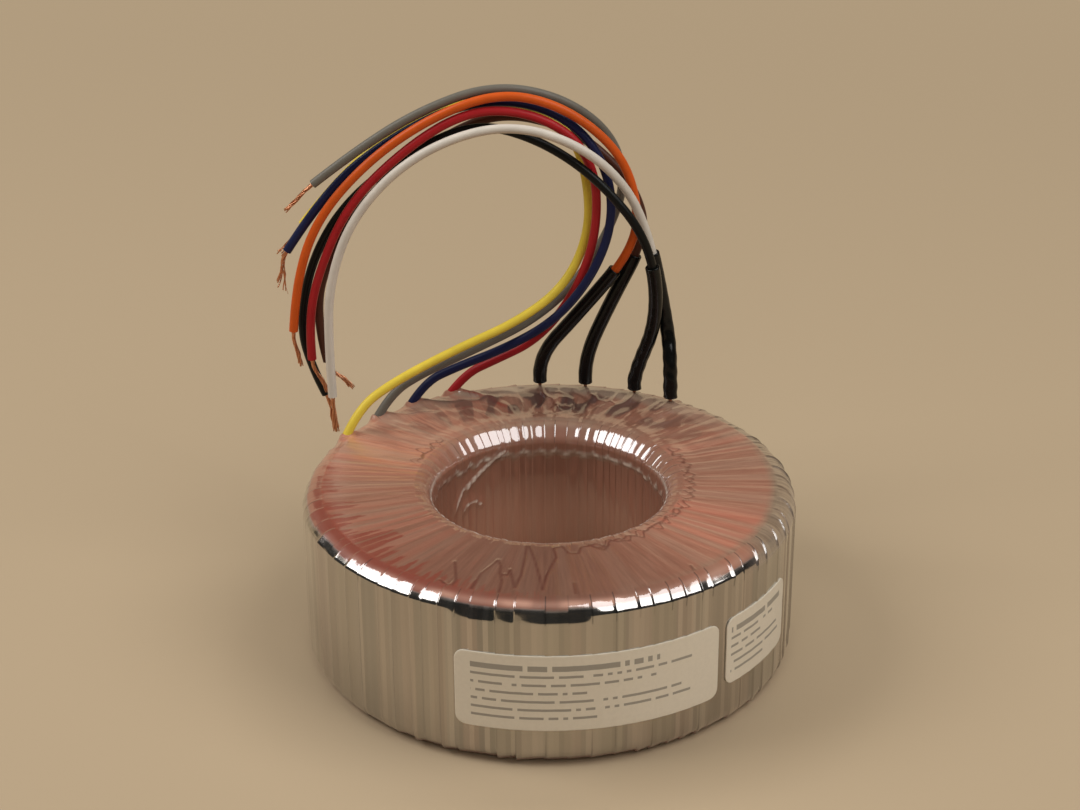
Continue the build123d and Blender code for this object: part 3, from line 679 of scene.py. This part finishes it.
# Each route starts where the lead leaves the ring; the points are in millimetres.
lead_routes = {
    "black": [
        (28.53, 61.18, 53), (28.53, 61.18, 60.5), (36, 57.2, 83), (32, 50.8, 111.5), (16, 53, 131),
        (-2, 57, 142.5), (-21.5, 60.8, 147), (-41, 62.3, 138), (-62, 62.3, 122.5), (-75, 62.3, 102.5),
        (-80.5, 62.3, 78.5), (-77, 62.3, 62.5), (-73, 62.3, 53.5),
    ],
    "white": [
        (39.96, 54.40, 53), (39.96, 54.40, 65), (39, 62.3, 78), (31, 59, 116.5), (18, 52.5, 137),
        (-2, 52.5, 147.5), (-21.5, 53.3, 147.5), (-44, 53.8, 137), (-61.5, 53.8, 118), (-69.5, 53.8, 95.5),
        (-70.5, 53.8, 74.5), (-70, 53.8, 56.5),
    ],
    "brown": [
        (12.53, 66.33, 53), (12.53, 66.33, 65), (20, 65.8, 83), (32, 65, 108), (28.5, 65.5, 122.5),
        (18.5, 67, 134.5), (6, 69, 143), (-14.5, 70, 147.5), (-33.5, 67.5, 140), (-53.5, 66, 125),
        (-68, 65, 105.5), (-76, 63, 83.5), (-72, 62, 65.5),
    ],
    "orange": [
        (-2.47, 67.45, 53), (-2.47, 67.45, 65), (9.5, 64.8, 80), (29, 61, 106), (28, 61.5, 125),
        (20.5, 59.5, 140.5), (4, 58, 153.5), (-15, 58, 157.5), (-36, 58, 149.5), (-56, 58, 135.5),
        (-73, 58, 116), (-80.5, 58, 94), (-82, 58, 78),
    ],
    "red": [
        (-32.46, 64.27, 52.2), (-27.5, 65.2, 59), (-17, 64.5, 64.5), (-4, 62.5, 72), (6.5, 60.5, 85.5),
        (13.5, 59.2, 101.5), (16, 58.2, 117), (15, 58, 132), (7.5, 58, 144.5), (-8, 58, 151.7),
        (-25, 58, 151.4), (-43.4, 58, 140.1), (-62.7, 58, 121.3), (-73.5, 58, 97), (-77, 58, 80),
        (-76.5, 58, 68),
    ],
    "blue": [
        (-44.92, 56.27, 52.2), (-40.5, 57.5, 59.5), (-30, 58.5, 64.5), (-13, 58.5, 71.5), (2.5, 57, 81.5),
        (14, 56, 96.5), (20.5, 57, 113), (20, 58.5, 129), (12, 60.5, 144), (-5, 62, 153.5),
        (-26, 62.2, 153), (-49, 62.2, 141.5), (-69.5, 62, 125), (-83, 61, 104.5),
    ],
    "grey": [
        (-55.32, 46.09, 52.2), (-51, 48, 60), (-40, 51.5, 66), (-22, 55.5, 73), (-4, 59.5, 81),
        (10, 66.5, 91.5), (20, 70.5, 107), (25.5, 71.5, 123.5), (20.5, 70, 140.5), (4.5, 65, 154),
        (-17, 61.7, 158.8), (-39.5, 60.3, 151), (-60, 60, 138), (-73.5, 59.5, 127.5),
    ],
    "yellow": [
        (-64.32, 32.35, 52.2), (-60.5, 35.5, 60.5), (-49, 41, 67.5), (-29, 48.5, 75.5), (-9, 54.5, 82.5),
        (6, 60, 92.5), (13.5, 63, 109), (13, 63.5, 127), (8, 65, 142.5), (-8, 66.5, 151.5),
        (-30, 66.5, 151.5), (-52.5, 66, 139.5), (-68, 65.5, 124.5), (-78, 65, 112),
    ],
}
sleeve_end_share = {"black": 0.66, "white": 0.66, "brown": 0.7, "orange": 0.65}
sleeve_lumps = {"black": 1.0, "white": 1.2, "brown": 0.3, "orange": 0.4}
sleeve_d = 0.0046
sleeve_lift = 0.0025
sleeve_spacing = 0.0006
sleeve_rim = 0.0002
rim_share = 0.92
lump_reach = 0.018


def jacket_finish(name, colour):
    """Extruded plastic: one colour with faint mottling, a soft sheen and a slightly rippled skin."""
    finish, tree, shader = new_finish(name)
    position = add_node(tree, "TexCoord").outputs["Object"]
    mottle = add_node(tree, "TexNoise", {"Vector": position, "Scale": 180.0, "Detail": 4.0}).outputs["Fac"]
    dark, light = ((*(np.array(colour) * level), 1) for level in (0.82, 1.12))
    tree.links.new(blend_colour(tree, mottle, dark, light), shader.inputs["Base Color"])
    tree.links.new(bump(tree, mottle, 0.00025, 0.35), shader.inputs["Normal"])
    shader.inputs["Roughness"].default_value = 0.36
    shader.inputs["Specular IOR Level"].default_value = 0.18
    return finish


def lead_curve(name, route):
    """A round cord on one NURBS spline of order 3 whose control points are the route's."""
    curve = bpy.data.curves.new(name, "CURVE")
    curve.dimensions = "3D"
    spline = curve.splines.new("NURBS")
    spline.points.add(len(route) - 1)
    spline.points.foreach_set("co", np.column_stack([route, np.ones(len(route))]).ravel())
    spline.order_u = 3
    spline.use_endpoint_u = True
    curve.resolution_u = 12
    curve.bevel_depth = lead_d / 2
    curve.bevel_resolution = 5
    curve.use_fill_caps = True
    piece = bpy.data.objects.new(name, curve)
    bpy.context.scene.collection.objects.link(piece)
    return piece


def smooth_line(route, samples=24):
    """Points along the smooth line that the route's points control, read from a curve with no bevel."""
    guide = lead_curve("guide", route)
    guide.data.bevel_depth = 0
    guide.data.resolution_u = samples
    bpy.context.view_layer.update()
    line = bpy.data.meshes.new_from_object(guide.evaluated_get(bpy.context.evaluated_depsgraph_get()))
    points = np.empty(len(line.vertices) * 3)
    line.vertices.foreach_get("co", points)
    bpy.data.curves.remove(guide.data)
    bpy.data.meshes.remove(line)
    return points.reshape(-1, 3)


def even_points(points, spacing):
    """The same line with points an even spacing apart along it."""
    run = np.concatenate([[0], np.cumsum(np.linalg.norm(np.diff(points, axis=0), axis=1))])
    even = np.linspace(0, run[-1], max(int(run[-1] / spacing), 4))
    return np.stack([np.interp(even, run, points[:, axis]) for axis in range(3)], axis=-1), even


def cross_frame(points):
    """Two unit vectors square to the line at each point: the first leans to +Y."""
    heading = np.gradient(points, axis=0)
    heading /= np.linalg.norm(heading, axis=1, keepdims=True)
    lean = np.array([0.0, 1.0, 0.0])
    side = lean - (heading @ lean)[:, None] * heading
    side /= np.linalg.norm(side, axis=1, keepdims=True)
    return side, np.cross(heading, side)


strand_copper, tree, shader = new_finish("strand_copper")
position = add_node(tree, "TexCoord").outputs["Object"]
tarnish = add_node(tree, "TexNoise", {"Vector": position, "Scale": 700.0, "Detail": 3.0}).outputs["Fac"]
bare_copper = blend_colour(tree, tarnish, (0.50, 0.16, 0.06, 1), (0.90, 0.48, 0.28, 1))
tree.links.new(bare_copper, shader.inputs["Base Color"])
shader.inputs["Metallic"].default_value = 0.9
shader.inputs["Roughness"].default_value = 0.32

sleeve_black, tree, shader = new_finish("sleeve_black")
position = add_node(tree, "TexCoord").outputs["Object"]
scuffs = add_node(tree, "TexNoise", {"Vector": position, "Scale": 420.0, "Detail": 5.0}).outputs["Fac"]
scuffed = blend_colour(tree, scuffs, (0.003, 0.003, 0.003, 1), (0.007, 0.007, 0.006, 1))
tree.links.new(scuffed, shader.inputs["Base Color"])
tree.links.new(bump(tree, scuffs, 0.0003, 0.25), shader.inputs["Normal"])
shader.inputs["Roughness"].default_value = 0.2
shader.inputs["Specular IOR Level"].default_value = 0.25

strand_count = 11
hair_count = 2
hair_d, bunch_d = 0.00016, 0.0004
strand_d = np.where(np.arange(strand_count) < hair_count, hair_d, bunch_d)[:, None, None, None]
strand_twist = 420
inner_ring, outer_ring = 0.00015, 0.00047
# Which way each bare end points at its tip, and how far its bundles stand apart there, in millimetres.
tip_ways = {
    "black": (0.22, 0, -0.97), "white": (0.05, 0, -1.0), "brown": (0.63, 0, -0.77),
    "orange": (0.14, 0, -0.99), "red": (0.37, 0, -0.93), "blue": (-0.22, 0, -0.97),
    "grey": (-0.72, 0, -0.69), "yellow": (-0.6, 0, -0.8),
}
tip_fray = {
    "black": 1.0, "white": 0.6, "brown": 0.7, "orange": 0.4,
    "red": 0.4, "blue": 2.3, "grey": 0.2, "yellow": 1.6,
}
for colour, points in lead_routes.items():
    route = np.array(points) / 1000
    heading = route[1] - route[0]
    heading /= np.linalg.norm(heading)
    leave = route[0].copy()
    route[0] += heading * (tail_rise if colour in sleeve_end_share else -root_depth)
    lead = lead_curve(f"wire_{colour}", route)
    lead.data.materials.append(jacket_finish(f"jacket_{colour}", jacket_colour[colour]))
    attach(lead, "root")
    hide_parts(f"lead_{colour}")

    # The strands start a little way inside the jacket, twist round each other and fray apart to the tip.
    tip_way = route[-1] - route[-2]
    tip_way /= np.linalg.norm(tip_way)
    tip_side, tip_up = (way[-1] for way in cross_frame(route[-2:]))
    number = np.arange(strand_count)[:, None, None]
    reach = bare_length * rng.uniform(0.86, 1.0, strand_count)[:, None, None]
    run = np.linspace(-0.002, 1, 28)[None, :, None]
    place = np.where(run < 0, run, run * reach)
    share = np.clip(place / bare_length, 0, 1)
    bent_way = tip_way + (np.array(tip_ways[colour]) - tip_way) * np.clip(1.7 * share, 0, 1)
    twist = number * 2 * np.pi / strand_count + strand_twist * place
    ring = np.where(number % 4 == 3, inner_ring, outer_ring)
    bundle = number % 4 * 2 * np.pi / 4 + 0.6
    stray = np.where(number < hair_count, 1.7, rng.uniform(0.7, 1.1, number.shape))
    apart = 0.001 * tip_fray[colour] * share ** 2 * stray
    centre = route[-1] + place * bent_way
    centre = centre + (ring * np.cos(twist) + apart * np.cos(bundle)) * tip_side
    centre = centre + (ring * np.sin(twist) + apart * np.sin(bundle)) * tip_up
    circle = np.linspace(0, 2 * np.pi, 7, endpoint=False)
    skin = np.cos(circle)[:, None] * tip_side + np.sin(circle)[:, None] * tip_up
    strand_points = centre[:, :, None, :] + strand_d / 2 * skin[None, None]
    strands = make_surface(f"strands_{colour}", strand_points, strand_copper, caps=True)
    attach(strands, "root")
    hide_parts(f"conductor_{colour}")

    # A sleeve is a tube along the first part of the lead: its outside, the far rim, its inside, the foot rim.
    if colour in sleeve_end_share:
        line = smooth_line(route)
        goal = route[2] + (route[3] - route[2]) * sleeve_end_share[colour]
        last = np.argmin(np.linalg.norm(line - goal, axis=1))
        foot = leave + heading * sleeve_lift
        line, run = even_points(np.vstack([foot, line[:last + 1]]), sleeve_spacing)
        side, up = cross_frame(line)
        circle = np.linspace(0, 2 * np.pi, 28, endpoint=False)
        lumpy = sleeve_lumps[colour] * np.exp(-run[:, None] / lump_reach)
        lumps = 1 + 0.035 * lumpy * np.cos(3 * circle + 260 * run[:, None])
        lumps = lumps + 0.05 * lumpy * np.sin(1300 * run[:, None] + 2 * circle)
        skin = np.cos(circle)[None, :, None] * side[:, None] + np.sin(circle)[None, :, None] * up[:, None]
        outside = line[:, None] + sleeve_d / 2 * lumps[..., None] * skin
        inside = line[:, None] + (lead_d / 2 + 0.0001) * skin
        rim_r = sleeve_d / 2 * rim_share
        rim = line[-1:, None] + rim_r * skin[-1:] + sleeve_rim * np.cross(side[-1], up[-1])
        foot_rim = line[:1, None] + rim_r * skin[:1] - sleeve_rim * np.cross(side[0], up[0])
        sleeve_points = np.concatenate([outside, rim, inside[::-1], foot_rim])[None]
        sleeve = make_surface(f"tube_{colour}", sleeve_points, sleeve_black, shut_rows=True)
        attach(sleeve, "root")
        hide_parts(f"sleeve_{colour}")

# Stage: a plain beige sheet that lies flat under the ring and sweeps up a little way behind it. Seen by the
# camera and in reflections it glows with its own colour, more and more with the distance from the ring.
beige = (0.465, 0.353, 0.225, 1)
stage_half = 4.0
sweep_start = 1.3
sweep_r = 0.5
sweep_top = 0.85
glow_start, glow_full = 0.1, 1.1

stage_paper, tree, shader = new_finish("stage_paper")
shader.inputs["Base Color"].default_value = (0.44, 0.328, 0.205, 1)
shader.inputs["Roughness"].default_value = 0.9
glow = add_node(tree, "Emission", {"Color": beige, "Strength": 1.0}).outputs[0]
ray = add_node(tree, "LightPath").outputs
seen = math(tree, "MAXIMUM", ray["Is Glossy Ray"], ray["Is Transmission Ray"])
seen = math(tree, "MAXIMUM", ray["Is Camera Ray"], seen)
position = add_node(tree, "TexCoord").outputs["Object"]
away = add_node(tree, "VectorMath", {0: position}, operation="LENGTH").outputs["Value"]
far_limits = {"Value": away, "From Min": glow_start, "From Max": glow_full}
far = add_node(tree, "MapRange", far_limits).outputs[0]
glow_share = math(tree, "MULTIPLY", seen, far)
paper_look = add_node(tree, "MixShader", {0: glow_share, 1: shader.outputs[0], 2: glow})
tree.links.new(paper_look.outputs[0], tree.nodes["Material Output"].inputs["Surface"])
bend = np.linspace(0, np.pi / 2, 24)
depth = np.concatenate([[-stage_half], sweep_start + sweep_r * np.sin(bend), [sweep_start + sweep_r]])
rise = np.concatenate([[0], sweep_r * (1 - np.cos(bend)), [sweep_top]])
sides = np.array([-stage_half, stage_half])
stage_points = np.stack(np.broadcast_arrays(sides[None], depth[:, None], rise[:, None]), axis=-1)
faces = [(2 * k, 2 * k + 1, 2 * k + 3, 2 * k + 2) for k in range(len(depth) - 1)]
stage_mesh = bpy.data.meshes.new("paper_sweep")
stage_mesh.from_pydata(stage_points.reshape(-1, 3).tolist(), [], faces)
stage_mesh.polygons.foreach_set("use_smooth", np.ones(len(faces), bool))
stage_mesh.materials.append(stage_paper)
paper_sweep = bpy.data.objects.new("paper_sweep", stage_mesh)
bpy.context.scene.collection.objects.link(paper_sweep)

# Light: a soft box high on each side, a weak one in front and one over the back of the sheet, with the room
# dark round them.
light_aim = Vector((0, 0, 0.04))
for name, place, aim, width, depth, power in (
    ("left", (-0.94, 0.0, 0.98), light_aim, 0.75, 0.75, 10.0),
    ("right", (0.70, -0.32, 1.05), light_aim, 0.9, 0.95, 10.0),
    ("front", (0.0, -1.25, 0.95), light_aim, 1.0, 0.6, 4.2),
    ("back", (0.0, 0.75, 1.5), Vector((0, 1.1, 0)), 1.6, 0.6, 9.0),
):
    lamp = bpy.data.lights.new(f"soft_box_{name}", "AREA")
    lamp.shape = "RECTANGLE"
    lamp.size, lamp.size_y = width, depth
    lamp.energy = power
    light = bpy.data.objects.new(f"soft_box_{name}", lamp)
    light.location = place
    light.rotation_mode = "QUATERNION"
    light.rotation_quaternion = (Vector(place) - aim).to_track_quat("Z", "Y")
    light.visible_camera = False
    light.visible_glossy = name in ("left", "right")
    bpy.context.scene.collection.objects.link(light)

world = bpy.data.worlds.new("room")
world.use_nodes = True
bpy.context.scene.world = world
background = world.node_tree.nodes["Background"]
seen = add_node(world.node_tree, "LightPath").outputs["Is Camera Ray"]
world.node_tree.links.new(
    blend_colour(world.node_tree, seen, (0.025, 0.024, 0.022, 1), beige), background.inputs["Color"])

# Camera: in front of the ring and above it, looking down at 25 degrees.
camera_data = bpy.data.cameras.new("camera")
camera_data.sensor_width = 36.0
camera_data.lens = 73.33
camera_data.clip_start = 0.01
camera = bpy.data.objects.new("camera", camera_data)
right, up, back = (0.99998, -0.00262, -0.00552), (0.00611, 0.42808, 0.90372), (0.0, -0.9037, 0.4281)
place = (-0.00253, -0.59491, 0.36027)
camera.matrix_world = Matrix([(right[i], up[i], back[i], place[i]) for i in range(3)] + [(0, 0, 0, 1)])
bpy.context.scene.collection.objects.link(camera)
bpy.context.scene.camera = camera
